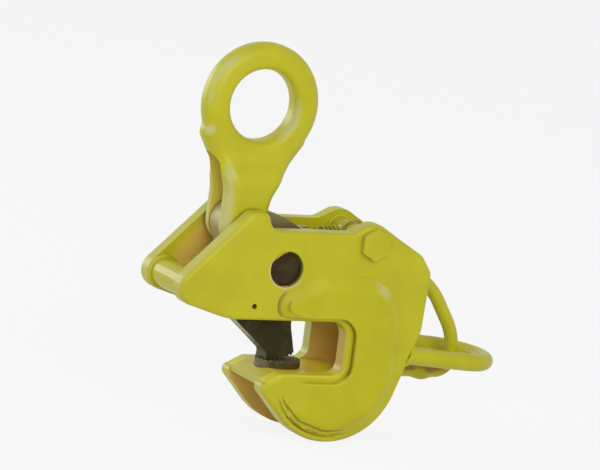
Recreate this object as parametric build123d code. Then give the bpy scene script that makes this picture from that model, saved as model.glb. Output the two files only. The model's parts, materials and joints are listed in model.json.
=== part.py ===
from build123d import *
import math
import os

# Horizontal lifting clamp. Millimetres, +Z up, the jaw opens towards -X, the near side is -Y.
# The origin is the centre of the lifting eye. Outlines are drawn from the main pin's axis.

# Main pin's axis, seen from the eye's centre
pin_x = 24.5
pin_z = -131.0

# Plates and the space between them
plate_t = 15.0
gap_w = 50.0
edge_round = 4.0

# Running and seating clearances, each side
pin_clear = 0.05
side_clear = 0.3
seat_clear = 0.3

# Plate outline, from the main pin's axis
nose_x = -81.0
nose_z = -18.5
nose_r = 15.0
peak_x = -37.0
peak_z = 46.5
peak_r = 8.0
peak_l = 15.0
peak_end_r = 6.0
saddle_x = -16.5
saddle_z = 32.0
saddle_r = 10.0
hump_x = 78.5
hump_z = 24.0
hump_r = 16.5
hump_foot = 21.0
hump_foot_r = 9.0
notch_x = 104.0
notch_z = 28.0
shoulder_x = 127.0
shoulder_z = 15.0
shoulder_r = 11.0
rear_x = 137.0
rear_corner_z = 1.0
rear_corner_r = 10.0
rear_bend_x = 135.0
rear_bend_z = -50.0
rear_bend_r = 40.0
belly_x = 57.0
belly_z = -84.0
belly_r = 62.5
tip_x = -13.0
tip_drop = 11.0
tip_r = 6.0
lead_in_x = 8.0
lead_in_r = 10.0
brow_x = -48.0
brow_r = 70.0

# Throat between the jaws
jaw_top_z = -44.0
jaw_low_z = -89.5
throat_x = 64.0
throat_top_r = 13.0
throat_low_r = 10.0

# Raised rim round the throat
doubler_t = 6.0
doubler_taper = 60.0
crest_round = 8.0
mouth_round = 1.5
doubler_back = 6.5
doubler_top_back = 4.0
doubler_edge = 5.0
doubler_tip_x = 13.0
doubler_tip_z = -125.0
doubler_tip_r = 12.0
arm_nose_x = 9.0
arm_nose_z = -30.0
arm_nose_r = 14.0
arm_top_x = 40.0
arm_top_z = -3.0
arm_top_r = 40.0
doubler_x = 112.0
curl_x = 36.0
curl_z = -60.0
curl_r = 12.0
doubler_r = 46.0

# Pins, tubes and the tie bolt
main_pin_d = 30.0
main_pin_sink = 4.5
pin_chamfer = 1.5
bore_round = 1.0
ring_t = 1.5
ring_w = 3.0
ring_groove = 1.5
ring_gap = 9.0
front_tube_d = 24.5
front_tube_bore = 14.0
spacer_tube_d = 21.0
tie_bolt_d = 16.0
tie_head_af = 24.0
tie_head_h = 5.0
tie_nut_h = 8.0
tie_clear = 0.25
jig_hole_x = -26.0
jig_hole_z = -32.0
jig_hole_d = 4.5

# Cam, and the link pin that joins it to the eye's fork
cam_t = 18.0
link_x = -34.0
link_z = 31.0
link_pin_d = 20.0
arm_r = 18.5
bush_wall = 3.0
link_bush_wall = 2.0
crown_x = 9.0
crown_z = 37.5
crown_r = 25.0
dip_x = 25.0
dip_z = 28.5
dip_r = 8.0
horn_x = 35.0
horn_z = 20.5
horn_r = 8.0
horn_slot_w = 5.0
horn_slot_deep = 6.0
spring_pin_d = 5.0
neck_z = -50.0
neck_front_x = -26.5
neck_front_r = 18.0
neck_rear_x = 25.5
neck_rear_r = 30.0
toe_front_x = 6.5
toe_front_r = 4.0
toe_rear_x = 34.0
toe_rise = 6.0
toe_low_x = 13.0
toe_r = 40.0
toe_gap = 0.4
tooth_pitch = 4.0
tooth_w = 3.2
tooth_slope = 45.0
spacer_od = 42.0

# Lower jaw
pad_x = 22.7
pad_d = 38.5
pad_h = 6.0
pad_sink = 5.0
pad_tooth_pitch = 4.0
pad_tooth_h = 1.2
anvil_t = 18.0
anvil_back = 14.0
anvil_lip = 4.0
screw_d = 8.0
screw_head_d = 13.0
screw_head_h = 8.0
screw_in_pad = 6.0

# Lifting eye
eye_d = 60.0
eye_t = 23.0
eye_band = 22.3
eye_land = 8.0
eye_round = 10.0
eye_neck_z = 88.0
eye_neck_r = 24.0
collar_r = 6.0
fork_w = 46.0
fork_slot = 20.0
fork_r = 19.5
slot_top_z = 90.0
front_waist_x = -53.0
front_waist_z = 66.0
front_waist_r = 45.0
rear_waist_x = -10.5
rear_waist_z = 56.0
rear_waist_r = 32.0
front_shoulder = 55.5
front_shoulder_drop = 19.0
front_shoulder_r = 11.0
rear_shoulder = 46.5
rear_shoulder_drop = 28.0
rear_shoulder_r = 11.0
stem_top = 36.0
stem_top_drop = 12.0
cheek_top_z = 72.0
cheek_blend_r = 24.0

# Rear web, carry handle and tail loop
web_t = 12.0
web_inset = 5.0
web_top_z = 4.0
web_low_z = -98.0
handle_d = 11.5
handle_start_z = 0.0
handle_top_x = 160.0
handle_top_z = -18.0
handle_top_r = 60.0
handle_back_x = 187.0
handle_back_z = -60.0
handle_back_r = 50.0
handle_low_z = -91.0
handle_low_r = 14.0
loop_d = 15.0
loop_z = -71.5
loop_gap = 15.4
loop_tilt = 4.5

# Closing spring
spring_wire = 3.0
spring_od = 19.0
spring_turns = 5
spring_pitch = 3.6
spring_lead = 2.5
spring_hook_gap = 0.3

# Worked out from the sizes above
inner_y = gap_w / 2
outer_y = inner_y + plate_t
ring_y = outer_y - main_pin_sink
eye_x = -pin_x
eye_z = -pin_z
pad_top_z = jaw_low_z + pad_h
at_eye = Pos(pin_x, 0, pin_z)


# Corner whose round has this centre and radius, in an outline that runs clockwise
def round_about(before, centre, radius, after):
    def tangent(point, side):
        dx = centre[0] - point[0]
        dz = centre[1] - point[1]
        return math.atan2(dz, dx) + side * math.asin(radius / math.hypot(dx, dz))

    first = tangent(before, 1)
    second = tangent(after, -1)
    dx = after[0] - before[0]
    dz = after[1] - before[1]
    reach = (dx * math.sin(second) - dz * math.cos(second)) / math.sin(second - first)
    return (before[0] + reach * math.cos(first), before[1] + reach * math.sin(first), radius)


# Closed outline from corners of x, z and radius
def outline(corners):
    points = [(x, z) for x, z, radius in corners]
    radii = [radius for x, z, radius in corners]
    return make_face(FilletPolyline(*points, radius=radii, close=True))


# Solid of an outline in the XZ plane, from one y to another
def slab(face, y_from, y_to):
    return extrude(Plane.XZ.offset(-y_to) * face, y_to - y_from)


# Round bar along y about a point of the XZ plane
def bar(x, z, diameter, y_from, y_to):
    return slab(Pos(x, z) * Circle(diameter / 2), y_from, y_to)


# Tube along y
def tube(x, z, outside, inside, y_from, y_to):
    return bar(x, z, outside, y_from, y_to) - bar(x, z, inside, y_from, y_to)


def mirrored(shape):
    return mirror(shape, about=Plane.XZ)


def plate_outline():
    nose = (nose_x, nose_z)
    peak = (peak_x, peak_z, peak_r)
    brow = (brow_x, jaw_top_z, brow_r)
    foot = (hump_x - hump_foot, saddle_z, hump_foot_r)
    notch = (notch_x, notch_z, hump_foot_r)
    bend = (rear_bend_x, rear_bend_z, rear_bend_r)
    tip = (tip_x, jaw_low_z - tip_drop, tip_r)
    return outline([
        round_about(brow, nose, nose_r, peak),
        peak,
        (peak_x + peak_l, peak_z, peak_end_r),
        (saddle_x, saddle_z, saddle_r),
        foot,
        round_about(foot, (hump_x, hump_z), hump_r, notch),
        notch,
        (shoulder_x, shoulder_z, shoulder_r),
        (rear_x, rear_corner_z, rear_corner_r),
        bend,
        round_about(bend, (belly_x, belly_z), belly_r, tip),
        tip,
        (lead_in_x, jaw_low_z, lead_in_r),
        (throat_x, jaw_low_z, throat_low_r),
        (throat_x, jaw_top_z, throat_top_r),
        brow,
    ])


# Side plate on the near side, with its bores and the groove of the pin's retaining ring
def side_plate():
    plate = slab(plate_outline(), -outer_y, -inner_y)
    rim = plate.faces().sort_by(Axis.Y)[0].outer_wire().edges()
    plate = fillet(rim, edge_round)
    plate -= bar(0, 0, main_pin_d + 2 * pin_clear, -outer_y, -inner_y)
    bore = plate.faces().sort_by(Axis.Y)[0].inner_wires().sort_by(SortBy.LENGTH)[-1]
    plate = fillet(bore.edges(), bore_round)
    plate -= bar(0, 0, main_pin_d + 2 * ring_groove, -ring_y - ring_t - pin_clear, -ring_y)
    plate -= bar(hump_x, hump_z, tie_bolt_d + 2 * tie_clear, -outer_y, -inner_y)
    plate -= bar(jig_hole_x, jig_hole_z, jig_hole_d, -outer_y, -inner_y)
    return plate


# Raised rim on the outer face: a tapered island with the throat cut out of it
def cheek_doubler():
    nose = (arm_nose_x, arm_nose_z)
    top = (arm_top_x, arm_top_z, arm_top_r)
    back = (doubler_x, arm_top_z, doubler_r)
    tip = (doubler_tip_x, doubler_tip_z, doubler_tip_r)
    curl = (curl_x, curl_z, curl_r)
    island = outline([
        round_about(curl, nose, arm_nose_r, top),
        top,
        back,
        round_about(back, (belly_x, belly_z), belly_r - doubler_edge, tip),
        tip,
        curl,
    ])
    rim = extrude(Plane.XZ.offset(outer_y) * island, doubler_t, taper=doubler_taper)
    mouth_top = jaw_top_z + doubler_top_back
    mouth_low = jaw_low_z - doubler_back
    mouth_x = throat_x + doubler_back
    mouth = outline([
        (tip_x - belly_r, mouth_top, 0),
        (mouth_x, mouth_top, throat_top_r + doubler_top_back),
        (mouth_x, mouth_low, throat_low_r + doubler_back),
        (tip_x - belly_r, mouth_low, 0),
    ])
    rim -= slab(mouth, -outer_y - doubler_t, -outer_y)

    def crest(at_mouth):
        rim_edges = rim.faces().sort_by(Axis.Y)[0].outer_wire().edges()
        reach = mouth_round / 2
        low = mouth_low - reach
        high = mouth_top + reach
        back_x = mouth_x + reach
        return [e for e in rim_edges if (low < e.center().Z < high and e.center().X < back_x) == at_mouth]

    rim = fillet(crest(False), crest_round)
    rim = fillet(crest(True), mouth_round)
    return rim


def front_cross_tube():
    return tube(nose_x, nose_z, front_tube_d, front_tube_bore, -inner_y, inner_y)


def rear_spacer_tube():
    return tube(hump_x, hump_z, spacer_tube_d, tie_bolt_d + 2 * tie_clear, -inner_y, inner_y)


def hexagon(across_flats, y_from, y_to):
    side = RegularPolygon(across_flats / 2, 6, major_radius=False, rotation=30)
    return slab(Pos(hump_x, hump_z) * side, y_from, y_to)


def rear_tie_bolt():
    shank_end = outer_y + tie_nut_h + pin_chamfer
    bolt = hexagon(tie_head_af, -outer_y - tie_head_h, -outer_y)
    bolt += bar(hump_x, hump_z, tie_bolt_d, -outer_y, shank_end)
    return chamfer(bolt.edges().filter_by(GeomType.CIRCLE).sort_by(Axis.Y)[-1], pin_chamfer)


def rear_tie_nut():
    nut = hexagon(tie_head_af, outer_y, outer_y + tie_nut_h)
    return nut - bar(hump_x, hump_z, tie_bolt_d + 2 * pin_clear, outer_y, outer_y + tie_nut_h)


def main_pin():
    pin = bar(0, 0, main_pin_d, -ring_y, ring_y)
    return chamfer(pin.edges().filter_by(GeomType.CIRCLE), pin_chamfer)


# Two open rings, one in each plate's groove, against the pin's ends
def main_pin_rings():
    outside = main_pin_d + 2 * ring_groove - 2 * pin_clear
    ring = tube(0, 0, outside, outside - 2 * ring_w, -ring_y - ring_t, -ring_y)
    ring -= slab(Pos(0, -outside / 2) * Rectangle(ring_gap, outside), -ring_y - ring_t, -ring_y)
    return Compound(children=[ring, mirrored(ring)])


def cam_spacer():
    return tube(0, 0, spacer_od, main_pin_d + 2 * pin_clear, -inner_y, -cam_t / 2 - side_clear)


# Cam plate: arm to the eye's fork, hub on the main pin, horn for the spring and a toothed toe
def cam():
    neck_front = (neck_front_x, neck_z, neck_front_r)
    crown = (crown_x, crown_z, crown_r)
    dip = (dip_x, dip_z, dip_r)
    neck_rear = (neck_rear_x, neck_z, neck_rear_r)
    toe_low_z = pad_top_z + toe_gap
    side = outline([
        neck_front,
        round_about(neck_front, (link_x, link_z), arm_r, crown),
        crown,
        dip,
        round_about(dip, (horn_x, horn_z), horn_r, neck_rear),
        neck_rear,
        (toe_rear_x, toe_low_z, 0),
        (toe_front_x, toe_low_z, 0),
        (toe_front_x, toe_low_z + toe_rise, toe_front_r),
    ])
    sole_top = toe_low_z + toe_r
    sole = Pos(toe_low_x, sole_top) * Circle(toe_r)
    above = Rectangle(4 * toe_r, 4 * toe_r, align=(Align.CENTER, Align.MIN))
    upper = Pos(toe_low_x, sole_top - toe_r / 2) * above
    body = slab(side & (sole + upper), -cam_t / 2, cam_t / 2)
    body -= toe_grooves(sole_top)
    body -= bar(0, 0, main_pin_d + 2 * bush_wall + 2 * pin_clear, -cam_t / 2, cam_t / 2)
    body -= bar(link_x, link_z, link_pin_d + 2 * link_bush_wall + 2 * pin_clear, -cam_t / 2, cam_t / 2)
    body -= bar(horn_x, horn_z, spring_pin_d + 2 * pin_clear, -cam_t / 2, cam_t / 2)
    slot_l = 2 * (horn_r + horn_slot_deep)
    body -= Pos(horn_x + horn_r, 0, horn_z) * Box(slot_l, horn_slot_w, 4 * horn_r)
    return body


# Section of a groove that starts on the x axis and narrows upwards
def v_groove(width):
    return Triangle(a=width, B=tooth_slope, C=tooth_slope, align=(Align.CENTER, Align.MIN))


# V grooves across the toe, evenly spaced along its round sole
def toe_grooves(sole_top):
    groove = Pos(toe_low_x, sole_top - toe_r) * v_groove(tooth_w)
    grooves = []
    step = math.degrees(tooth_pitch / toe_r)
    first = math.floor((toe_front_x - toe_low_x) / tooth_pitch) + 1
    last = math.floor((toe_rear_x - toe_low_x) / tooth_pitch)
    for index in range(first, last + 1):
        turned = Pos(toe_low_x, sole_top) * Rot(0, 0, index * step) * Pos(-toe_low_x, -sole_top) * groove
        grooves.append(slab(turned, -cam_t / 2, cam_t / 2))
    return grooves


def cam_bush():
    outside = main_pin_d + 2 * bush_wall
    return tube(0, 0, outside, main_pin_d + 2 * pin_clear, -cam_t / 2, cam_t / 2)


def link_bush():
    outside = link_pin_d + 2 * link_bush_wall
    return tube(link_x, link_z, outside, link_pin_d + 2 * pin_clear, -cam_t / 2, cam_t / 2)


def spring_pin():
    return bar(horn_x, horn_z, spring_pin_d, -cam_t / 2, cam_t / 2)


def link_pin():
    pin = bar(link_x, link_z, link_pin_d, -inner_y + side_clear, inner_y - side_clear)
    return chamfer(pin.edges().filter_by(GeomType.CIRCLE), pin_chamfer)


# Bar across the lower jaw, with the plates' lead-in at its front and a seat for the pad
def jaw_anvil():
    front_x = tip_x + tip_r
    lead_slope = tip_drop / (lead_in_x - tip_x)
    front_z = jaw_low_z - lead_slope * (lead_in_x - front_x)
    low_z = jaw_low_z - anvil_t
    side = outline([
        (front_x, front_z, 0),
        (lead_in_x, jaw_low_z, lead_in_r),
        (throat_x + anvil_back, jaw_low_z, 0),
        (throat_x + anvil_back, low_z, 0),
        (lead_in_x, low_z, lead_in_r),
        (front_x, front_z - anvil_lip, 0),
    ])
    anvil = slab(side, -inner_y, inner_y)
    seat = Pos(pad_x, 0, jaw_low_z) * Cylinder(pad_d / 2 + pin_clear, 2 * pad_sink)
    hole = Pos(pad_x, 0, low_z) * Cylinder(screw_d / 2 + tie_clear, 2 * anvil_t)
    return anvil - seat - hole


# Round pad with crossed V grooves in its face and a blind hole for its screw
def jaw_pad():
    height = pad_h + pad_sink
    pad = Pos(pad_x, 0, pad_top_z - height / 2) * Cylinder(pad_d / 2, height)
    groove_w = 2 * pad_tooth_h / math.tan(math.radians(tooth_slope))
    tool = slab(Rot(0, 0, 180) * v_groove(groove_w), -pad_d, pad_d)
    count = math.floor(pad_d / 2 / pad_tooth_pitch)
    for index in range(-count, count + 1):
        along = Pos(index * pad_tooth_pitch, 0, 0) * tool
        pad -= Pos(pad_x, 0, pad_top_z) * along
        pad -= Pos(pad_x, 0, pad_top_z) * Rot(0, 0, 90) * along
    pad -= Pos(pad_x, 0, pad_top_z - height) * Cylinder(screw_d / 2 + pin_clear, 2 * screw_in_pad)
    return pad


# Socket screw from below, its head against the anvil's underside
def jaw_pad_screw():
    seat_z = jaw_low_z - anvil_t
    tip_z = pad_top_z - pad_h - pad_sink + screw_in_pad - seat_clear
    shank = Pos(pad_x, 0, (seat_z + tip_z) / 2) * Cylinder(screw_d / 2, tip_z - seat_z)
    head = Pos(pad_x, 0, seat_z - screw_head_h / 2) * Cylinder(screw_head_d / 2, screw_head_h)
    hexagon_key = Pos(pad_x, 0, seat_z - screw_head_h) * RegularPolygon(screw_d / 2, 6)
    return shank + head - extrude(hexagon_key, screw_head_h / 2)


# Forged eye: one rounded outline from ring to fork, thinner at the ring, with a slotted fork
def lifting_eye():
    half = fork_w / 2
    eye = fillet(eye_rims(eye_blank()), eye_round)
    eye -= bar(eye_x, eye_z, eye_d, -half, half)
    eye = fillet([edge for edge in eye.edges() if on_hole(edge)], (eye_t - eye_land) / 2)
    slot_low = link_z - 2 * fork_r
    slot_h = slot_top_z - slot_low
    slot = Pos(link_x, 0, slot_top_z - slot_h / 2) * Box(fork_w * 4, fork_slot, slot_h)
    slot = fillet(slot.edges().filter_by(Axis.X).group_by(Axis.Z)[-1], fork_slot / 2 - pin_clear)
    eye -= slot
    return eye - bar(link_x, link_z, link_pin_d + 2 * pin_clear, -half, half)


# Distance of a point from the axis of the eye's hole
def from_hole(point):
    return math.hypot(point.X - eye_x, point.Z - eye_z)


# Edges where the hole comes out of the faces
def on_hole(edge):
    middle = edge.position_at(0.5)
    return abs(from_hole(middle) - eye_d / 2) < pin_clear and abs(middle.Y) > eye_land / 2


# Outer edges of both faces, without the lines across them where the thickness bends
def eye_rims(blank):
    across = blank.edges().filter_by(Axis.X)
    return [edge for edge in blank.edges() - across if abs(edge.center().Y) > eye_land / 2]


# Ring and stem from the side, cut to the thickness of the fork and of the ring
def eye_blank():
    front_waist = (front_waist_x, front_waist_z, front_waist_r)
    rear_waist = (rear_waist_x, rear_waist_z, rear_waist_r)
    ring_r = eye_d / 2 + eye_band
    stem = outline([
        front_waist,
        (eye_x - front_shoulder, eye_z - front_shoulder_drop, front_shoulder_r),
        (eye_x - stem_top, eye_z - stem_top_drop, 0),
        (eye_x + stem_top, eye_z - stem_top_drop, 0),
        (eye_x + rear_shoulder, eye_z - rear_shoulder_drop, rear_shoulder_r),
        rear_waist,
        round_about(rear_waist, (link_x, link_z), fork_r, front_waist),
    ])
    side = slab(stem + Pos(eye_x, eye_z) * Circle(ring_r), -fork_w / 2, fork_w / 2)
    low_edges = [edge for edge in side.edges().filter_by(Axis.Y) if edge.center().Z < eye_z - stem_top_drop]
    collars = [edge for edge in low_edges if abs(from_hole(edge.center()) - ring_r) < pin_clear]
    side = fillet(collars, collar_r)
    return side & extrude(Plane.YZ.offset(eye_x - fork_w * 2) * eye_thickness(), fork_w * 4)


# Front view of the eye: wide at the fork, narrow at the ring
def eye_thickness():
    half = fork_w / 2
    ring_half = eye_t / 2
    low_z = link_z - 2 * fork_r
    top_z = eye_z + eye_d + eye_band
    return outline([
        (-half, low_z, 0),
        (-half, cheek_top_z, cheek_blend_r),
        (-ring_half, eye_neck_z, eye_neck_r),
        (-ring_half, top_z, 0),
        (ring_half, top_z, 0),
        (ring_half, eye_neck_z, eye_neck_r),
        (half, cheek_top_z, cheek_blend_r),
        (half, low_z, 0),
    ])


# Rear edge of the plates at a height, along its straight lower run
def rear_edge_x(z):
    bend = (rear_bend_x, rear_bend_z)
    tip = (tip_x, jaw_low_z - tip_drop)
    corner = round_about(bend, (belly_x, belly_z), belly_r, tip)
    return rear_bend_x + (corner[0] - rear_bend_x) * (z - rear_bend_z) / (corner[1] - rear_bend_z)


# Web between the plates, just inside their rear edge
def rear_web():
    low_x = rear_edge_x(web_low_z) - web_inset
    bend_x = rear_bend_x - web_inset
    back_x = rear_x - web_inset
    side = outline([
        (back_x, web_top_z, 0),
        (bend_x, rear_bend_z, rear_bend_r),
        (low_x, web_low_z, 0),
        (low_x - web_t, web_low_z, 0),
        (bend_x - web_t, rear_bend_z, rear_bend_r),
        (back_x - web_t, web_top_z, 0),
    ])
    return slab(side, -inner_y, inner_y)


# D of round bar in the middle plane, both ends on the rear web
def carry_handle():
    root_x = rear_x - web_inset - web_t / 2
    low_x = rear_edge_x(handle_low_z) - web_inset - web_t / 2
    path = Plane.XZ * FilletPolyline(
        (root_x, handle_start_z),
        (handle_top_x, handle_top_z),
        (handle_back_x, handle_back_z),
        (handle_back_x, handle_low_z),
        (low_x, handle_low_z),
        radius=[handle_top_r, handle_back_r, handle_low_r],
    )
    start = Plane(origin=path @ 0, z_dir=path % 0)
    return largest(sweep(start * Circle(handle_d / 2), path) - rear_web())


# U of round bar that dips to the rear, its legs on the rear edges of the plates
def tail_loop():
    leg_y = inner_y + plate_t / 2
    root_x = rear_edge_x(loop_z)
    reach = handle_back_x + handle_d / 2 + loop_gap + loop_d / 2 - root_x
    leg = reach / math.cos(math.radians(loop_tilt)) - leg_y
    root = Plane(origin=(root_x, 0, loop_z), x_dir=(1, 0, 0), z_dir=(0, 0, 1))
    near_leg = Line((-loop_d, -leg_y), (leg, -leg_y))
    far_leg = Line((leg, leg_y), (-loop_d, leg_y))
    bend = ThreePointArc(near_leg @ 1, (leg + leg_y, 0), far_leg @ 0)
    path = root * Rot(0, loop_tilt, 0) * Wire([near_leg, bend, far_leg])
    start = Plane(origin=path @ 0, z_dir=path % 0)
    loop = sweep(start * Circle(loop_d / 2), path)
    high_z = loop_z + 2 * loop_d
    low_z = loop_z - 2 * loop_d
    front_x = root_x - 3 * loop_d
    plates = Polyline(
        (front_x, high_z),
        (rear_edge_x(high_z), high_z),
        (rear_edge_x(low_z), low_z),
        (front_x, low_z),
        close=True,
    )
    return largest(loop - slab(make_face(plates), -2 * outer_y, 2 * outer_y))


def largest(shape):
    return shape.solids().sort_by(SortBy.VOLUME)[-1]


# Extension spring from the cam's horn to the rear spacer tube, with a closed loop at each end
def closing_spring():
    wire_r = spring_wire / 2
    coil_r = spring_od / 2 - wire_r
    span_x = hump_x - horn_x
    span_z = hump_z - horn_z
    length = math.hypot(span_x, span_z)
    coil_l = spring_turns * spring_pitch
    far_r = spacer_tube_d / 2 + spring_hook_gap + wire_r
    near_r = spring_pin_d / 2 + spring_hook_gap + wire_r
    coil_from = length - far_r - spring_lead - coil_l
    coil_path = Helix(spring_pitch, coil_l, coil_r)
    section = Plane(origin=coil_path @ 0, z_dir=coil_path % 0) * Circle(wire_r)
    coil = Pos(0, 0, coil_from) * sweep(section, coil_path, is_frenet=True)
    near_loop = Rot(90, 0, 0) * Torus(near_r, wire_r)
    far_loop = Pos(0, 0, length) * Rot(90, 0, 0) * Torus(far_r, wire_r)
    from_base = (Align.CENTER, Align.CENTER, Align.MIN)
    near_lead = Pos(0, 0, near_r) * Cylinder(wire_r, coil_from - near_r, align=from_base)
    far_lead_z = coil_from + coil_l
    far_lead = Pos(0, 0, far_lead_z) * Cylinder(wire_r, spring_lead, align=from_base)
    spoke = Rot(0, 90, 0) * Cylinder(wire_r, coil_r, align=from_base)
    spring = coil + near_loop + far_loop + near_lead + far_lead
    spring = spring + Pos(0, 0, coil_from) * spoke + Pos(0, 0, far_lead_z) * spoke
    lean = math.degrees(math.atan2(span_x, span_z))
    return Pos(horn_x, 0, horn_z) * Rot(0, lean, 0) * spring


def build():
    plate = side_plate()
    doubler = cheek_doubler()
    spacer = cam_spacer()
    return {
        "near_side_plate": plate,
        "far_side_plate": mirrored(plate),
        "near_cheek_doubler": doubler,
        "far_cheek_doubler": mirrored(doubler),
        "front_cross_tube": front_cross_tube(),
        "rear_spacer_tube": rear_spacer_tube(),
        "rear_tie_bolt": rear_tie_bolt(),
        "rear_tie_nut": rear_tie_nut(),
        "main_pin": main_pin(),
        "main_pin_rings": main_pin_rings(),
        "near_cam_spacer": spacer,
        "far_cam_spacer": mirrored(spacer),
        "cam": cam(),
        "cam_bush": cam_bush(),
        "link_bush": link_bush(),
        "spring_pin": spring_pin(),
        "link_pin": link_pin(),
        "jaw_anvil": jaw_anvil(),
        "jaw_pad": jaw_pad(),
        "jaw_pad_screw": jaw_pad_screw(),
        "lifting_eye": lifting_eye(),
        "rear_web": rear_web(),
        "carry_handle": carry_handle(),
        "tail_loop": tail_loop(),
        "closing_spring": closing_spring(),
    }


os.makedirs("parts", exist_ok=True)
for name, shape in build().items():
    export_step(at_eye * shape, f"parts/{name}.step")
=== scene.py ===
# Horizontal lifting clamp: finishes, welds, closing spring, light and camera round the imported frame
import json
import math
import random

import bpy
from mathutils import Matrix, Vector


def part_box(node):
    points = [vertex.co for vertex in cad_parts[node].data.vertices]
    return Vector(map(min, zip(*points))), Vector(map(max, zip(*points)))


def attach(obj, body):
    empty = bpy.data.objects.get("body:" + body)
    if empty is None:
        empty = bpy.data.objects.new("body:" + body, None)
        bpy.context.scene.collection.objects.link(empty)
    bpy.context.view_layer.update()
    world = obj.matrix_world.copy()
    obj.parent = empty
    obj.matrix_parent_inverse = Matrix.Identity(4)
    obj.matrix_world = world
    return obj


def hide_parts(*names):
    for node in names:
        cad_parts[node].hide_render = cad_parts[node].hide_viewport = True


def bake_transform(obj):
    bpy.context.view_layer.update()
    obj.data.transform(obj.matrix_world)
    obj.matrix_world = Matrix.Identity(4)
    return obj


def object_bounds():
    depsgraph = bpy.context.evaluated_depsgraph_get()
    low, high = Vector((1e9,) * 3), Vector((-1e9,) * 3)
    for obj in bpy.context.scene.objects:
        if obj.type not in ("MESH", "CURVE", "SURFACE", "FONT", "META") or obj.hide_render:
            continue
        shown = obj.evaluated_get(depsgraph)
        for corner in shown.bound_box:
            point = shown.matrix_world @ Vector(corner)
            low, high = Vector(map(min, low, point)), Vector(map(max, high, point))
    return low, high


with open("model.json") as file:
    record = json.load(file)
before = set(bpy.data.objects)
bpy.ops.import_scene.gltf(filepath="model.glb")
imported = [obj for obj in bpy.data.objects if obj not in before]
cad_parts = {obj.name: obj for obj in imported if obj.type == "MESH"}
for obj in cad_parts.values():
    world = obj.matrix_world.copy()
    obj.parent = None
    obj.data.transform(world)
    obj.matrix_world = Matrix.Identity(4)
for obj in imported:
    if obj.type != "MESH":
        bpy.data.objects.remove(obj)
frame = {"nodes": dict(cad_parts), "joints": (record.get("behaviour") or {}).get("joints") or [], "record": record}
cadLow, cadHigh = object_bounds()
nodes = frame["nodes"]
joints = {joint["name"]: joint for joint in frame["joints"]}
pinAxis = Vector(joints["cam_pivot"]["pos_m"])  # main pin, in the middle plane
alongX, alongY, alongZ = Vector((1, 0, 0)), Vector((0, 1, 0)), Vector((0, 0, 1))
forwards = -alongX  # out of the jaw
print("frame loaded:", len(nodes), "nodes")


def fromPin(x, y, z):  # a place in millimetres from the main pin
    return pinAxis + Vector((x, y, z)) / 1000


def tone(red, green, blue):  # screen colour 0 to 255 as a linear shader colour
    def linear(level):
        share = level / 255
        return share / 12.92 if share <= 0.04045 else ((share + 0.055) / 1.055) ** 2.4

    return (linear(red), linear(green), linear(blue), 1.0)


# Shader maths

class Wire:  # one output socket; sums, products and powers of it add Math nodes
    def __init__(self, finish, socket):
        self.finish = finish
        self.socket = socket

    def maths(self, operation, first, second):
        return self.finish.node("ShaderNodeMath", {"operation": operation}, {0: first, 1: second})

    def __add__(self, other):
        return self.maths("ADD", self, other)

    def __radd__(self, other):
        return self.maths("ADD", other, self)

    def __sub__(self, other):
        return self.maths("SUBTRACT", self, other)

    def __rsub__(self, other):
        return self.maths("SUBTRACT", other, self)

    def __mul__(self, other):
        return self.maths("MULTIPLY", self, other)

    def __rmul__(self, other):
        return self.maths("MULTIPLY", other, self)

    def __pow__(self, other):
        return self.maths("POWER", self, other)

    def __rpow__(self, other):
        return self.maths("POWER", other, self)


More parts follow.
